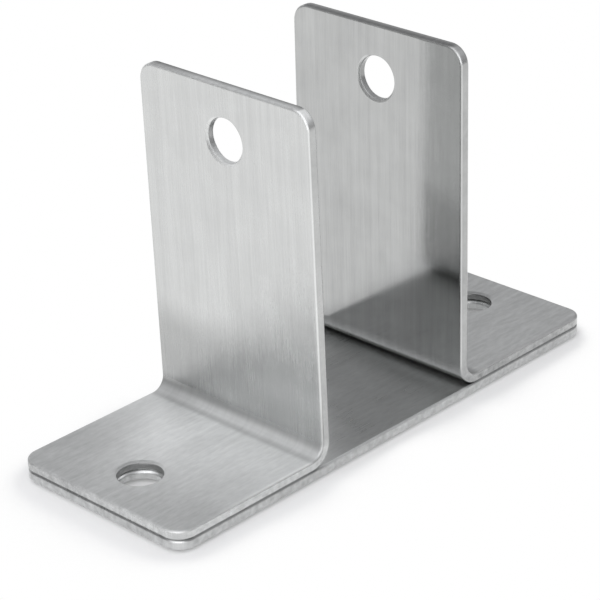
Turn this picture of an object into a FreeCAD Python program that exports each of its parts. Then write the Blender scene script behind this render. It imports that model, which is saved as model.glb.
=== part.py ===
# Double-ear wall bracket in stainless steel sheet.
# Two folded angles stand on a flat base strip, and the edge of a panel slides between their ears.
# Frame: X along the strip, Y across it, Z up from the wall face. The origin is the middle of that face.
import FreeCAD, Part
import math
import os

import Sketcher

os.makedirs("parts", exist_ok=True)
doc = FreeCAD.newDocument("WallBracket")

# Driving dimensions in millimetres, and the splay of each ear in degrees
SIZES = {
    "bracket_length": 101.6,
    "bracket_width": 38.1,
    "overall_height": 63.9,
    "ear_gap": 32.9,
    "ear_splay": 0.75,
    "plate_sheet": 1.8,
    "angle_sheet": 1.8,
    "bend_radius": 2.4,
    "corner_radius": 3.4,
    "edge_rounding": 0.4,
    "screw_hole": 7.7,
    "screw_hole_from_end": 9.5,
    "bolt_hole": 7.7,
    "bolt_hole_from_top": 9.5,
    "rim_chamfer": 0.4,
}
sheet = doc.addObject("Spreadsheet::Sheet", "Sizes")
for row, (name, value) in enumerate(SIZES.items(), start=1):
    sheet.set(f"A{row}", name)
    sheet.set(f"B{row}", str(value))
    sheet.setAlias(f"B{row}", name)
doc.recompute()

# A round or chamfer takes at most this share of a sheet, so those of its two faces never meet
ROUND_SHARE = 0.45
# Faces that meet at a larger angle than this, in degrees, meet at an edge and not in a smooth fold
SHARP_ANGLE = 20.0
LENGTH_MATCH = 1e-6
ORIGIN_POINT = (-1, 1)
START, END, CENTRE = 1, 2, 3


def new_sketch(body, name, role):
    """An empty sketch on one of the body's own origin planes."""
    plane = next(item for item in body.Origin.OriginFeatures if item.Role == role)
    sketch = body.newObject("Sketcher::SketchObject", name)
    sketch.AttachmentSupport = [(plane, "")]
    sketch.MapMode = "FlatFace"
    return sketch


def drive(sketch, name, formula, *constraint):
    """Adds a constraint whose value follows the sizes."""
    index = sketch.addConstraint(Sketcher.Constraint(*constraint))
    sketch.renameConstraint(index, name)
    sketch.setExpression(f"Constraints.{name}", formula)


def hold(sketch, *constraints):
    """Adds constraints that have no value."""
    for constraint in constraints:
        sketch.addConstraint(Sketcher.Constraint(*constraint))


def edges_across(shape, thickness):
    """The straight edges that run from one face of the sheet to the other at its corners."""
    return [
        f"Edge{number}"
        for number, edge in enumerate(shape.Edges, start=1)
        if abs(edge.Length - thickness) < LENGTH_MATCH
    ]


def sharp_edges(shape):
    """The edges where two faces meet at an angle, which leaves out folds and finished rounds."""
    names = []
    for number, edge in enumerate(shape.Edges, start=1):
        middle = edge.valueAt((edge.FirstParameter + edge.LastParameter) / 2)
        faces = shape.ancestorsOfType(edge, Part.Face)
        normals = [face.normalAt(*face.Surface.parameter(middle)) for face in faces]
        if len(normals) == 2 and math.degrees(normals[0].getAngle(normals[1])) > SHARP_ANGLE:
            names.append(f"Edge{number}")
    return names


def pad(body, name, sketch, length, side):
    """A solid raised from a sketch."""
    feature = body.newObject("PartDesign::Pad", name)
    feature.Profile = sketch
    feature.SideType = side
    feature.setExpression("Length", length)
    doc.recompute()
    return feature


def round_edges(body, name, base, edges, radius):
    """A fillet on the named edges of the feature before it."""
    feature = body.newObject("PartDesign::Fillet", name)
    feature.Base = (base, edges)
    feature.setExpression("Radius", radius)
    doc.recompute()
    return feature


def punch(body, name, sketch, base):
    """Cuts a sketch's circles right through the sheet."""
    cut = body.newObject("PartDesign::Pocket", name)
    cut.Profile = sketch
    cut.SideType = "Symmetric"
    cut.Type = "ThroughAll"
    doc.recompute()
    if not cut.Shape.Volume < base.Shape.Volume:
        raise RuntimeError(f"{body.Label}: {name} cuts nothing")
    return cut


def deburr(body, base, thickness):
    """Takes the burr off the rims of the holes, the only edges that close on themselves."""
    rims = [f"Edge{number}" for number, edge in enumerate(base.Shape.Edges, start=1) if edge.isClosed()]
    feature = body.newObject("PartDesign::Chamfer", "Rims")
    feature.Base = (base, rims)
    feature.setExpression("Size", f"min(Sizes.rim_chamfer; Sizes.{thickness} * {ROUND_SHARE})")
    doc.recompute()
    return feature


def round_outline(body, base, thickness):
    """Rounds the corners of a sheet in plan, then breaks the edges all round both its faces."""
    across = edges_across(base.Shape, sheet.get(thickness))
    corners = round_edges(body, "Corners", base, across, "Sizes.corner_radius")
    breaks = f"min(Sizes.edge_rounding; Sizes.{thickness} * {ROUND_SHARE})"
    return round_edges(body, "Broken_edges", corners, sharp_edges(corners.Shape), breaks)


def base_plate():
    """The flat strip that lies against the wall, with a screw hole near each end."""
    body = doc.addObject("PartDesign::Body", "base_plate")
    length, width = sheet.get("bracket_length"), sheet.get("bracket_width")

    outline = new_sketch(body, "Outline", "XY_Plane")
    corners = [
        FreeCAD.Vector(x * length / 2, y * width / 2, 0)
        for x, y in ((-1, -1), (1, -1), (1, 1), (-1, 1))
    ]
    for line in range(4):
        outline.addGeometry(Part.LineSegment(corners[line], corners[(line + 1) % 4]), False)
    for line in range(4):
        hold(outline, ("Coincident", line, END, (line + 1) % 4, START))
    hold(
        outline,
        ("Horizontal", 0),
        ("Vertical", 1),
        ("Horizontal", 2),
        ("Vertical", 3),
        ("Symmetric", 0, START, 2, START, *ORIGIN_POINT),
    )
    drive(outline, "length", "Sizes.bracket_length", "DistanceX", 0, START, 0, END, length)
    drive(outline, "width", "Sizes.bracket_width", "DistanceY", 1, START, 1, END, width)
    strip = pad(body, "Strip", outline, "Sizes.plate_sheet", "One side")
    rounded = round_outline(body, strip, "plate_sheet")

    holes = new_sketch(body, "Hole_centres", "XY_Plane")
    out = length / 2 - sheet.get("screw_hole_from_end")
    radius = sheet.get("screw_hole") / 2
    for side in (1, -1):
        centre = FreeCAD.Vector(side * out, 0, 0)
        holes.addGeometry(Part.Circle(centre, FreeCAD.Vector(0, 0, 1), radius), False)
    hold(
        holes,
        ("PointOnObject", 0, CENTRE, -1),
        ("Symmetric", 0, CENTRE, 1, CENTRE, *ORIGIN_POINT),
        ("Equal", 0, 1),
    )
    from_middle = "Sizes.bracket_length / 2 - Sizes.screw_hole_from_end"
    drive(holes, "from_middle", from_middle, "DistanceX", *ORIGIN_POINT, 0, CENTRE, out)
    drive(holes, "diameter", "Sizes.screw_hole", "Diameter", 0, 2 * radius)
    punched = punch(body, "Screw_holes", holes, rounded)
    deburr(body, punched, "plate_sheet")
    return body


def folded_angle(label, turn):
    """A sheet folded to an L: its foot lies on the plate and its ear stands beside the gap.

    It is drawn with the foot towards +X, its underside at Z = 0, and turned about Z to its end.
    """
    body = doc.addObject("PartDesign::Body", label)
    half_length = sheet.get("bracket_length") / 2
    thickness = sheet.get("angle_sheet")
    inner = sheet.get("bend_radius")
    outer = inner + thickness
    top = sheet.get("overall_height") - sheet.get("plate_sheet")
    splay = math.radians(sheet.get("ear_splay"))

    def point(x, z):
        return FreeCAD.Vector(x, z, 0)

    # The fold's two arcs share a centre, and the ear leaves them at the splay past square
    centre = point(sheet.get("ear_gap") / 2 + outer, outer)
    up = point(math.sin(splay), math.cos(splay))
    across = point(math.cos(splay), -math.sin(splay))
    gap_root = centre - across * outer
    gap_top = gap_root + up * ((top - gap_root.y) / up.y)
    outer_root = centre - across * inner
    outer_top = gap_top + across * thickness

    profile = new_sketch(body, "Folded_profile", "XZ_Plane")

    def line(start, end):
        return profile.addGeometry(Part.LineSegment(start, end), False)

    def arc(radius):
        circle = Part.Circle(centre, FreeCAD.Vector(0, 0, 1), radius)
        return profile.addGeometry(Part.ArcOfCircle(circle, math.pi - splay, 1.5 * math.pi), False)

    underside = line(point(centre.x, 0), point(half_length, 0))
    end_face = line(point(half_length, 0), point(half_length, thickness))
    foot_top = line(point(half_length, thickness), point(centre.x, thickness))
    inner_bend = arc(inner)
    outer_face = line(outer_root, outer_top)
    top_face = line(outer_top, gap_top)
    gap_face = line(gap_top, gap_root)
    outer_bend = arc(outer)
    hold(
        profile,
        ("Coincident", underside, END, end_face, START),
        ("Coincident", end_face, END, foot_top, START),
        ("Tangent", foot_top, END, inner_bend, END),
        ("Tangent", inner_bend, START, outer_face, START),
        ("Coincident", outer_face, END, top_face, START),
        ("Coincident", top_face, END, gap_face, START),
        ("Tangent", gap_face, END, outer_bend, START),
        ("Tangent", outer_bend, END, underside, START),
        ("Coincident", inner_bend, CENTRE, outer_bend, CENTRE),
        ("PointOnObject", underside, END, -1),
        ("Horizontal", underside),
        ("Horizontal", foot_top),
        ("Vertical", end_face),
        ("Parallel", outer_face, gap_face),
        ("Perpendicular", top_face, gap_face),
    )
    foot_end = "Sizes.bracket_length / 2"
    drive(profile, "foot_end", foot_end, "DistanceX", *ORIGIN_POINT, underside, END, half_length)
    sheet_ends = (end_face, START, end_face, END)
    drive(profile, "thickness", "Sizes.angle_sheet", "DistanceY", *sheet_ends, thickness)
    drive(profile, "bend", "Sizes.bend_radius", "Radius", inner_bend, inner)
    bend_centre = "Sizes.ear_gap / 2 + Sizes.bend_radius + Sizes.angle_sheet"
    drive(profile, "bend_centre", bend_centre, "DistanceX", *ORIGIN_POINT, inner_bend, CENTRE, centre.x)
    ear_top = "Sizes.overall_height - Sizes.plate_sheet"
    drive(profile, "ear_top", ear_top, "DistanceY", *ORIGIN_POINT, gap_face, START, top)
    drive(profile, "ear_angle", "90 - Sizes.ear_splay", "Angle", outer_face, math.pi / 2 - splay)
    folded = pad(body, "Folded_sheet", profile, "Sizes.bracket_width", "Symmetric")
    rounded = round_outline(body, folded, "angle_sheet")

    foot_hole = new_sketch(body, "Screw_hole_centre", "XY_Plane")
    out = half_length - sheet.get("screw_hole_from_end")
    radius = sheet.get("screw_hole") / 2
    foot_hole.addGeometry(Part.Circle(point(out, 0), FreeCAD.Vector(0, 0, 1), radius), False)
    hold(foot_hole, ("PointOnObject", 0, CENTRE, -1))
    from_middle = "Sizes.bracket_length / 2 - Sizes.screw_hole_from_end"
    drive(foot_hole, "from_middle", from_middle, "DistanceX", *ORIGIN_POINT, 0, CENTRE, out)
    drive(foot_hole, "diameter", "Sizes.screw_hole", "Diameter", 0, 2 * radius)
    punched = punch(body, "Screw_hole", foot_hole, rounded)

    # The ear's hole runs along X, so one straight bolt passes both ears
    ear_hole = new_sketch(body, "Bolt_hole_centre", "YZ_Plane")
    height = top - sheet.get("bolt_hole_from_top")
    radius = sheet.get("bolt_hole") / 2
    ear_hole.addGeometry(Part.Circle(point(0, height), FreeCAD.Vector(0, 0, 1), radius), False)
    hold(ear_hole, ("PointOnObject", 0, CENTRE, -2))
    hole_height = f"{ear_top} - Sizes.bolt_hole_from_top"
    drive(ear_hole, "hole_height", hole_height, "DistanceY", *ORIGIN_POINT, 0, CENTRE, height)
    drive(ear_hole, "diameter", "Sizes.bolt_hole", "Diameter", 0, 2 * radius)
    punched = punch(body, "Bolt_hole", ear_hole, punched)
    deburr(body, punched, "angle_sheet")

    on_plate = FreeCAD.Vector(0, 0, sheet.get("plate_sheet"))
    body.Placement = FreeCAD.Placement(on_plate, FreeCAD.Rotation(FreeCAD.Vector(0, 0, 1), turn))
    body.setExpression("Placement.Base.z", "Sizes.plate_sheet")
    return body


pieces = [
    base_plate(),
    folded_angle("right_angle", 0),
    folded_angle("left_angle", 180),
]
doc.recompute()

for item in doc.Objects:
    if "Invalid" in item.State or "Error" in item.State:
        raise RuntimeError(f"{item.Label} did not compute: {item.State}")
    if item.TypeId == "Sketcher::SketchObject" and not item.FullyConstrained:
        raise RuntimeError(f"{item.Label} is not fully constrained")

for piece in pieces:
    shape = piece.Shape
    if shape.isNull() or not shape.isValid() or len(shape.Solids) != 1:
        raise RuntimeError(f"{piece.Label} is not one valid solid")
    shape.exportStep(f"parts/{piece.Label}.step")
    box = shape.optimalBoundingBox()
    print(
        f"{piece.Label}: {shape.Volume:.1f} mm3, "
        f"X {box.XMin:.2f} to {box.XMax:.2f}, Y {box.YMin:.2f} to {box.YMax:.2f}, "
        f"Z {box.ZMin:.2f} to {box.ZMax:.2f}"
    )
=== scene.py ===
# Double-ear wall bracket in brushed stainless sheet, seen from above its near left corner.
import math

import bpy
from mathutils import Matrix, Vector

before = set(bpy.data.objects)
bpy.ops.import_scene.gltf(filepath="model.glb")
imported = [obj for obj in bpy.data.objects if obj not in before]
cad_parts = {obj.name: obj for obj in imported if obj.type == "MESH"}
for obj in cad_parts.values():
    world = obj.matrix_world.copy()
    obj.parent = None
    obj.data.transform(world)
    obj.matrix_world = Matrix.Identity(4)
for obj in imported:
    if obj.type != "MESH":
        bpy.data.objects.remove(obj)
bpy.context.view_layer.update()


# Base strip
# The flat strip that lies against the wall, sheared from stainless sheet, with rounded corners and
# broken edges. Both feet are welded down on it, and between the ears its brushed face lies bare.
MM = 0.001
HALF_LENGTH = 50.8
HALF_WIDTH = 19.05
SHEET = 1.8
EAR_FROM_MIDDLE = 18.0
FOLD_END = 20.65


class Signal:
    """One output in a material's nodes. Arithmetic on it adds Math nodes, node() adds any other."""

    def __init__(self, tree, socket=None):
        self.tree = tree
        self.socket = socket

    def node(self, kind, settings=None, sockets=None, output=0):
        """Adds a node: its settings first, then the values or links of its sockets."""
        made = self.tree.nodes.new(kind)
        for name, value in (settings or {}).items():
            setattr(made, name, value)
        for name, value in (sockets or {}).items():
            if isinstance(value, Signal):
                self.tree.links.new(value.socket, made.inputs[name])
            else:
                made.inputs[name].default_value = value
        return Signal(self.tree, made.outputs[output] if made.outputs else None)

    def number(self, operation, *values):
        return self.node("ShaderNodeMath", {"operation": operation}, dict(enumerate(values)))

    def vector(self, operation, *values, output=0):
        return self.node("ShaderNodeVectorMath", {"operation": operation}, dict(enumerate(values)), output)

    def __add__(self, other):
        return self.number("ADD", self, other)

    def __sub__(self, other):
        return self.number("SUBTRACT", self, other)

    def __rsub__(self, other):
        return self.number("SUBTRACT", other, self)

    def __mul__(self, other):
        return self.number("MULTIPLY", self, other)

    def __or__(self, other):
        return self.number("MAXIMUM", self, other)

    def __abs__(self):
        return self.number("ABSOLUTE", self)

    __radd__ = __add__
    __rmul__ = __mul__


def new_material(name):
    """An empty material, and the Signal that its nodes start from."""
    material = bpy.data.materials.new(name)
    material.use_nodes = True
    material.node_tree.nodes.clear()
    return material, Signal(material.node_tree)


def place(start, axis):
    """Where a point lies, in metres: X along the bracket, Y across it, Z up from the wall."""
    point = start.node("ShaderNodeTexCoord", output="Object")
    return start.node("ShaderNodeSeparateXYZ", sockets={0: point}, output=axis)


def facing(start, axis):
    """How far the surface faces along X, Y or Z, from -1 to 1."""
    normal = start.node("ShaderNodeTexCoord", output="Normal")
    return start.node("ShaderNodeSeparateXYZ", sockets={0: normal}, output=axis)


def between(value, low, high):
    """0 below low, 1 above high, with a soft step from one to the other."""
    return value.node("ShaderNodeMapRange", {"interpolation_type": "SMOOTHSTEP"}, {
        "Value": value, "From Min": low, "From Max": high,
    })


def between_mm(value, low, high):
    """The same for a place, with its limits in millimetres."""
    return between(value, low * MM, high * MM)


def streaks(start, seed, shift, across, along, detail):
    """Noise drawn out along the run, as the belt leaves it: across and along are its waves per mm."""
    point = start.node("ShaderNodeTexCoord", output="Object")
    waves = (along / MM, across / MM, along / MM)
    stretched = start.vector("MULTIPLY_ADD", point, waves, (seed + shift, shift, seed))
    return start.node("ShaderNodeTexNoise", sockets={
        "Vector": stretched, "Scale": 1.0, "Detail": detail, "Roughness": 0.6,
    })


def grain(start, per_mm, detail):
    """Noise with no direction, in waves per mm."""
    point = start.node("ShaderNodeTexCoord", output="Object")
    return start.node("ShaderNodeTexNoise", sockets={
        "Vector": point, "Scale": per_mm / MM, "Detail": detail, "Roughness": 0.55,
    })


def hairlines(start, seed):
    """The belt's finest lines, around 0."""
    return streaks(start, seed, shift=3.0, across=9.0, along=0.12, detail=4.0) - 0.5


def clouds(start):
    """Soft patches a few millimetres wide, around 0."""
    return grain(start, per_mm=0.16, detail=3.0) - 0.5


def tearing(start):
    """The rough bite of the shear, around 0."""
    return grain(start, per_mm=0.9, detail=4.0) - 0.5


def lying(start):
    """1 on faces that look up from the wall, 0 on upright ones."""
    return between(facing(start, "Z"), 0.35, 0.95)


HAIRLINE_CONTRAST = 0.16
BAND_CONTRAST = 0.15
CLOUD_CONTRAST = 0.12
SCUFF_CONTRAST = 0.22


def belt_marks(start, seed, tone):
    """The tone of a brushed face. Where the sheet lies flat, it is scuffed and its finest lines are
    half worn away."""
    bands = streaks(start, seed, shift=11.0, across=1.1, along=0.03, detail=3.0) - 0.5
    scuffs = streaks(start, seed, shift=23.0, across=1.5, along=0.50, detail=5.0) - 0.5
    tone = tone + hairlines(start, seed) * (1.0 - lying(start) * 0.5) * HAIRLINE_CONTRAST
    tone = tone + bands * BAND_CONTRAST + clouds(start) * CLOUD_CONTRAST
    return tone + lying(start) * scuffs * SCUFF_CONTRAST


def sheared(start):
    """1 on the long sides and the ends, where the shear cut the sheet."""
    end = between_mm(abs(place(start, "X")), HALF_LENGTH - 0.35, HALF_LENGTH - 0.05)
    return between(abs(facing(start, "Y")), 0.80, 0.97) | end


def broken_edge(start):
    """1 on the broken edges of the long sides, which face half sideways."""
    sideways = abs(facing(start, "Y"))
    return between(sideways, 0.25, 0.45) * (1.0 - between(sideways, 0.80, 0.92))


SEAM_GROOVE_SHADE = 0.34
FOLD_CREASE_SHADE = 0.26


def seam_groove_shade(start):
    """1 in the groove along the outline, where a foot lies on the strip, which is darkened there as painted
    shade.
    """
    from_middle = abs(place(start, "X"))
    height = place(start, "Z")
    side = between_mm(abs(place(start, "Y")), HALF_WIDTH - 1.75, HALF_WIDTH - 1.35)
    end = between_mm(from_middle, HALF_LENGTH - 1.8, HALF_LENGTH - 1.4)
    above = between_mm(height, SHEET - 0.35, SHEET - 0.15)
    below = 1.0 - between_mm(height, SHEET + 0.15, SHEET + 0.35)
    under_foot = between_mm(from_middle, EAR_FROM_MIDDLE - 1.0, EAR_FROM_MIDDLE + 1.0)
    return above * below * (side | end) * under_foot * (1.0 - between(facing(start, "Z"), 0.85, 0.97))


def fold_crease_shade(start):
    """1 along the line where the fold ends on the flat, which is darkened there as painted shade in the
    crease.
    """
    from_middle = abs(place(start, "X"))
    line = between_mm(from_middle, FOLD_END - 1.85, FOLD_END - 0.55)
    return line * (1.0 - between_mm(from_middle, FOLD_END - 0.15, FOLD_END + 1.15)) * lying(start)


EDGE_SOFTNESS = 0.45


def soft_edges(start):
    """The way the surface faces, with its broken edges rubbed round."""
    return start.node("ShaderNodeBevel", {"samples": 6}, {"Radius": EDGE_SOFTNESS * MM})


STEEL_TINT = (0.986, 0.997, 0.992)
HAIRLINE_ROUGHNESS = 0.12
CLOUD_ROUGHNESS = 0.10


def brush(start, seed, tone, roughness, surface, scratch_depth, metallic=1.0):
    """Ends a piece's nodes: steel of this tone, with belt scratches of this depth in millimetres."""
    lines = hairlines(start, seed)
    colour = start.node("ShaderNodeVectorMath", {"operation": "SCALE"}, {0: STEEL_TINT, "Scale": tone})
    scratches = start.node("ShaderNodeBump", sockets={
        "Height": lines, "Strength": 1.0, "Distance": scratch_depth * MM, "Normal": surface,
    })
    shader = start.node("ShaderNodeBsdfPrincipled", sockets={
        "Base Color": colour,
        "Metallic": metallic,
        "Roughness": roughness + lines * HAIRLINE_ROUGHNESS + clouds(start) * CLOUD_ROUGHNESS,
        "Normal": scratches,
    })
    start.node("ShaderNodeOutputMaterial", sockets={"Surface": shader})


def dress(node, material):
    """Gives a CAD node its finish."""
    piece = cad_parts[node]
    piece.data.materials.clear()
    piece.data.materials.append(material)
    for face in piece.data.polygons:
        face.use_smooth = True


STRIP_SEED = 0.0
STRIP_TONE = 0.71
STRIP_ROUGHNESS = 0.30
STRIP_SCRATCH_DEPTH = 0.015
SIDE_DARK = 0.12
RIM_PAINTED_SHADE = 0.20
TEAR_CONTRAST = 0.50
strip_steel, start = new_material("strip_steel")
# Painted shade darkens the strip's broken top rims.
top_rim_shade = broken_edge(start) * between(facing(start, "Z"), 0.30, 0.60)
tone = belt_marks(start, STRIP_SEED, STRIP_TONE)
tone = tone + sheared(start) * (tearing(start) * TEAR_CONTRAST - SIDE_DARK) - top_rim_shade * RIM_PAINTED_SHADE
# Painted shade darkens the crease where a fold ends and the groove where a foot lies on the strip.
tone = tone * (1.0 - fold_crease_shade(start) * FOLD_CREASE_SHADE) * (1.0 - seam_groove_shade(start) * SEAM_GROOVE_SHADE)
brush(start, STRIP_SEED, tone, STRIP_ROUGHNESS, soft_edges(start), STRIP_SCRATCH_DEPTH)
dress("base_plate", strip_steel)

# Folded angles
# Two equal pieces of the same sheet, each folded to an L with a foot and an ear, and punched for a
# screw and a bolt. The belt marks run from the foot round the fold and up the ear.
FOLD_TOP = 6.0
EAR_TOP = 63.9
SCREW_FROM_MIDDLE = 41.3
BOLT_HEIGHT = 54.4
HOLE_RADIUS = 3.85
RIM_WIDTH = 0.95


def punch(start, surface, hole_axis, centre, rim_level):
    """One hole: a mask of its wall, and the surface with its rim rubbed nearly level with the face."""
    point = start.node("ShaderNodeTexCoord", output="Object")
    normal = start.node("ShaderNodeTexCoord", output="Normal")
    round_axis = tuple(1 - value for value in hole_axis)
    offset = start.vector("MULTIPLY_ADD", point, round_axis, tuple(-value * MM for value in centre))
    reach = start.vector("LENGTH", offset, output="Value")
    past_wall = between_mm(reach, HOLE_RADIUS + 0.01, HOLE_RADIUS + 0.11)
    rim_end = HOLE_RADIUS + RIM_WIDTH
    rim = past_wall * (1.0 - between_mm(reach, rim_end - 0.15, rim_end + 0.15))
    level = start.vector("NORMALIZE", start.vector("MULTIPLY", normal, hole_axis))
    # A vector Mix takes its factor at socket 0 and its two vectors at 4 and 5, and gives them at output 1.
    mixed = {0: rim * rim_level, 4: surface, 5: level}
    return 1.0 - past_wall, start.node("ShaderNodeMix", {"data_type": "VECTOR"}, mixed, output=1)


EAR_TEAR_CONTRAST = 0.12
EAR_CORNER_PAINTED_HIGHLIGHT = 0.14
EAR_TOP_PAINTED_SHADE = 0.28
EAR_TOP_INNER_PAINTED_SHADE = 0.34
SCREW_WALL_SHADE_AND_DULL = 0.42
SCREW_RIM_LEVEL = 0.9
HOLE_WALL_ROUGHNESS = 0.40


def folded_steel(name, seed, tone, fold_painted_light, end_painted_shade, edge_tone, ear_edge_tone, foot_roughness,
                 ear_roughness, scratch_depth, screw_at, bolt_wall_shade_and_dull, bolt_rim_level,
                 foot_bare=0.0, painted_shade=None):
    """The finish of one angle. Its tones are added on the foot by the fold and at the foot's end, as painted
    light and shade, on its sheared edges and on those of the ear. screw_at is its screw hole's place along
    the bracket."""
    material, start = new_material(name)
    from_middle = abs(place(start, "X"))
    height = place(start, "Z")
    up = facing(start, "Z")

    tone = belt_marks(start, seed, tone)
    # Painted light and shade on the foot: one tone is added by the fold, changing to another towards its
    # end.
    toward_end = between_mm(from_middle, FOLD_END + 1.35, HALF_LENGTH - 0.8)
    tone = tone + lying(start) * (fold_painted_light + toward_end * (end_painted_shade - fold_painted_light))
    # Painted shade, for an angle that is given it.
    if painted_shade:
        tone = tone * painted_shade(start)

    # The shear tore the foot's edges more than the ear's. The ear's broken corners get a painted highlight,
    # and its top a painted shade, deeper on its inner side.
    on_ear = between_mm(height, FOLD_TOP - 1.5, FOLD_TOP + 1.0)
    ear_top = between_mm(height, EAR_TOP - 0.35, EAR_TOP - 0.05)
    bite = TEAR_CONTRAST - on_ear * (TEAR_CONTRAST - EAR_TEAR_CONTRAST)
    tone = tone + (sheared(start) | ear_top) * (tearing(start) * bite + edge_tone + on_ear * ear_edge_tone)
    tone = tone + broken_edge(start) * on_ear * (1.0 - between(up, 0.10, 0.30)) * EAR_CORNER_PAINTED_HIGHLIGHT
    inner_side = 1.0 - between_mm(from_middle, EAR_FROM_MIDDLE - 0.5, EAR_FROM_MIDDLE + 0.6)
    tone = tone * (1.0 - ear_top * (EAR_TOP_PAINTED_SHADE + inner_side * EAR_TOP_INNER_PAINTED_SHADE))
    # Painted shade darkens the crease where a fold ends and the groove where a foot lies on the strip.
    tone = tone * (1.0 - fold_crease_shade(start) * FOLD_CREASE_SHADE) * (1.0 - seam_groove_shade(start) * SEAM_GROOVE_SHADE)

    surface = soft_edges(start)
    screw_wall, surface = punch(start, surface, (0, 0, 1), (screw_at, 0, 0), SCREW_RIM_LEVEL)
    bolt_wall, surface = punch(start, surface, (1, 0, 0), (0, 0, BOLT_HEIGHT), bolt_rim_level)
    # Painted shade darkens the walls of the holes, which are also made rougher.
    punched = screw_wall * SCREW_WALL_SHADE_AND_DULL | bolt_wall * bolt_wall_shade_and_dull
    tone = tone * (1.0 - punched)
    roughness = ear_roughness + between(up, 0.03, 0.50) * (foot_roughness - ear_roughness)
    roughness = roughness + punched * HOLE_WALL_ROUGHNESS
    metallic = 1.0 - lying(start) * foot_bare if foot_bare else 1.0
    brush(start, seed, tone, roughness, surface, scratch_depth, metallic)
    return material


# How deep the left angle's painted shade is low on its ear, in its fold and on its foot's far side.
LOW_EAR_PAINTED_SHADE = 0.20
IN_FOLD_PAINTED_SHADE = 0.24
FAR_FOOT_PAINTED_SHADE = 0.26


def left_painted_shade(start):
    """Painted shade and painted reflection on the left angle: what it keeps of its tone low on its ear, in
    its fold and on the foot's far side.
    """
    along = place(start, "X")
    across = place(start, "Y")
    height = place(start, "Z")
    low_ear = (1.0 - between_mm(height, 15.0, 23.0)) * (1.0 - lying(start))
    low_ear = low_ear * (0.4 + between_mm(across, -14.0, 16.0))
    in_fold = between_mm(facing(start, "X") * along, 0.0, 2.0) * (1.0 - between_mm(abs(along), 23.0, 25.0))
    in_fold = in_fold * (1.0 - between(facing(start, "Z"), 0.80, 0.97))
    in_fold = in_fold * (1.0 - between_mm(height, 8.0, 14.0))
    in_fold = in_fold * (1.0 - between_mm(height, 5.0, 7.5) * between_mm(across, -8.0, 6.0))
    far_foot = lying(start) * between_mm(across, 3.0, 17.0)
    far_foot = far_foot * (1.0 - between_mm(abs(along), 38.0, 47.0) * 0.65)
    return (1.0 - low_ear * LOW_EAR_PAINTED_SHADE) * (1.0 - in_fold * IN_FOLD_PAINTED_SHADE) * (1.0 - far_foot * FAR_FOOT_PAINTED_SHADE)


dress("left_angle", folded_steel(
    "left_angle_steel", seed=40.0, tone=0.68, fold_painted_light=0.23, end_painted_shade=-0.18, edge_tone=0.04,
    ear_edge_tone=-0.17, foot_roughness=0.58, ear_roughness=0.26, scratch_depth=0.035,
    screw_at=-SCREW_FROM_MIDDLE, bolt_wall_shade_and_dull=0.24, bolt_rim_level=0.9, foot_bare=0.08,
    painted_shade=left_painted_shade,
))
# The right angle is the same steel, given a darker tone as painted shade.
dress("right_angle", folded_steel(
    "right_angle_steel", seed=80.0, tone=0.50, fold_painted_light=0.01, end_painted_shade=0.0, edge_tone=-0.04,
    ear_edge_tone=0.0, foot_roughness=0.50, ear_roughness=0.09, scratch_depth=0.003,
    screw_at=SCREW_FROM_MIDDLE, bolt_wall_shade_and_dull=0.20, bolt_rim_level=0.7,
))

# Floor
# A pale sheet of paper just under the bracket, which shows white to the camera and in the steel.
# Close to the bracket the white gives way to plain paper, so that its soft contact shadow stays.
FLOOR_SIZE = 6.0
FLOOR_DROP = 0.5
PAPER = (0.84, 0.84, 0.84, 1)
WHITE = (1, 1, 1, 1)
SHADOW_REACH = 20.0
SHADOW_LEAN = (0.25, 0.0, 0.0)
LEAST_WHITE = 0.12
# How open the ground is where plain paper ends and full white starts: in the steel, then to the camera.
PAPER_BELOW, WHITE_ABOVE = 0.88, 0.99
CAMERA_PAPER_BELOW, CAMERA_WHITE_ABOVE = 0.74, 0.94
STEEL_LIFT = 0.10
bpy.ops.mesh.primitive_plane_add(size=FLOOR_SIZE, location=(0, 0, -FLOOR_DROP * MM))
floor = bpy.context.object
floor.name = "floor"
floor_paper, start = new_material("floor_paper")
camera_ray = start.node("ShaderNodeLightPath", output="Is Camera Ray")
glossy_ray = start.node("ShaderNodeLightPath", output="Is Glossy Ray")
transmission_ray = start.node("ShaderNodeLightPath", output="Is Transmission Ray")
seen = start.number("MINIMUM", camera_ray + glossy_ray + transmission_ray, 1.0)
leaning = start.vector("ADD", start.node("ShaderNodeNewGeometry", output="Normal"), SHADOW_LEAN)
openness = start.node("ShaderNodeAmbientOcclusion", {"samples": 24}, {
    "Distance": SHADOW_REACH * MM, "Normal": start.vector("NORMALIZE", leaning),
}, output="AO")
white_share = start.node("ShaderNodeMapRange", {"interpolation_type": "SMOOTHSTEP"}, {
    "Value": openness,
    "From Min": PAPER_BELOW - camera_ray * (PAPER_BELOW - CAMERA_PAPER_BELOW),
    "From Max": WHITE_ABOVE - camera_ray * (WHITE_ABOVE - CAMERA_WHITE_ABOVE),
    "To Min": LEAST_WHITE,
})
white_share = white_share + (1.0 - camera_ray) * (1.0 - white_share) * STEEL_LIFT
floor_shader = start.node("ShaderNodeMixShader", sockets={
    0: seen * white_share,
    1: start.node("ShaderNodeBsdfDiffuse", sockets={"Color": PAPER}),
    2: start.node("ShaderNodeEmission", sockets={"Color": WHITE, "Strength": 1.0}),
})
start.node("ShaderNodeOutputMaterial", sockets={"Surface": floor_shader})
floor.data.materials.append(floor_paper)

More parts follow.
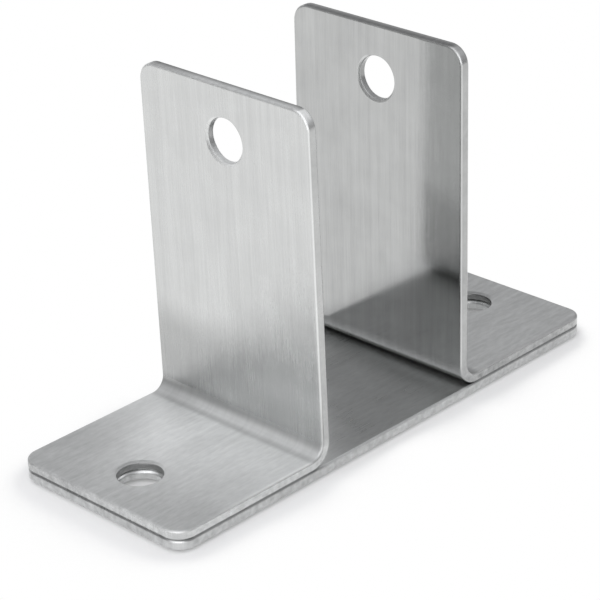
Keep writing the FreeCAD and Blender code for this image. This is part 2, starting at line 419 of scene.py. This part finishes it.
# Studio light
# Soft white cards stand round the table, the brightest beside the camera, and the room behind is dim.
# Each card fades out from its middle, with no edge to show in the steel.
CARD_FADE = 7.0
CARD_WHITE = (0.982, 0.984, 1.0, 1)
CARDS = [
    # degrees from +X, degrees above the table, strength
    (36, 8, 0.10),
    (72, 8, 0.50),
    (216, 8, 1.60),
    (72, 30, 0.85),
    (180, 30, 0.50),
    (216, 30, 1.90),
    (60, 55, 0.25),
    (180, 55, 0.90),
    (0, 90, 0.35),
    (326, 38, 1.00),
]
studio = bpy.data.worlds.new("studio")
bpy.context.scene.world = studio
studio.use_nodes = True
studio.node_tree.nodes.clear()
start = Signal(studio.node_tree)
outward = start.node("ShaderNodeTexCoord", output="Generated")
light = 0.0
for turn, rise, strength in CARDS:
    turn, rise = math.radians(turn), math.radians(rise)
    card = (math.cos(rise) * math.cos(turn), math.cos(rise) * math.sin(turn), math.sin(rise))
    toward = start.vector("DOT_PRODUCT", outward, card, output="Value")
    light = light + start.number("EXPONENT", (toward - 1.0) * CARD_FADE) * strength
room = start.node("ShaderNodeBackground", sockets={"Color": CARD_WHITE, "Strength": light})
start.node("ShaderNodeOutputWorld", sockets={"Surface": room})

# Camera
# A long lens looks down on the near left corner, from the photo's angle and distance.
# Its frame is rolled by about two degrees, as the photo's is.
LENS = 149.69
SENSOR_WIDTH = 36.0
CAMERA_PLACE = Vector((-272.55, -266.96, 204.17)) * MM
CAMERA_AIM = Vector((-1.49, 1.50, 19.40)) * MM
CAMERA_ROLL = math.radians(-2.172)
camera_data = bpy.data.cameras.new("camera")
camera_data.lens = LENS
camera_data.sensor_width = SENSOR_WIDTH
camera_data.clip_start = 0.01
camera_data.clip_end = 20.0
camera = bpy.data.objects.new("camera", camera_data)
aimed = (CAMERA_AIM - CAMERA_PLACE).to_track_quat("-Z", "Y").to_matrix().to_4x4()
camera.matrix_world = Matrix.Translation(CAMERA_PLACE) @ aimed @ Matrix.Rotation(CAMERA_ROLL, 4, "Z")
bpy.context.scene.collection.objects.link(camera)
bpy.context.scene.camera = camera
bpy.context.scene.view_settings.view_transform = "Standard"
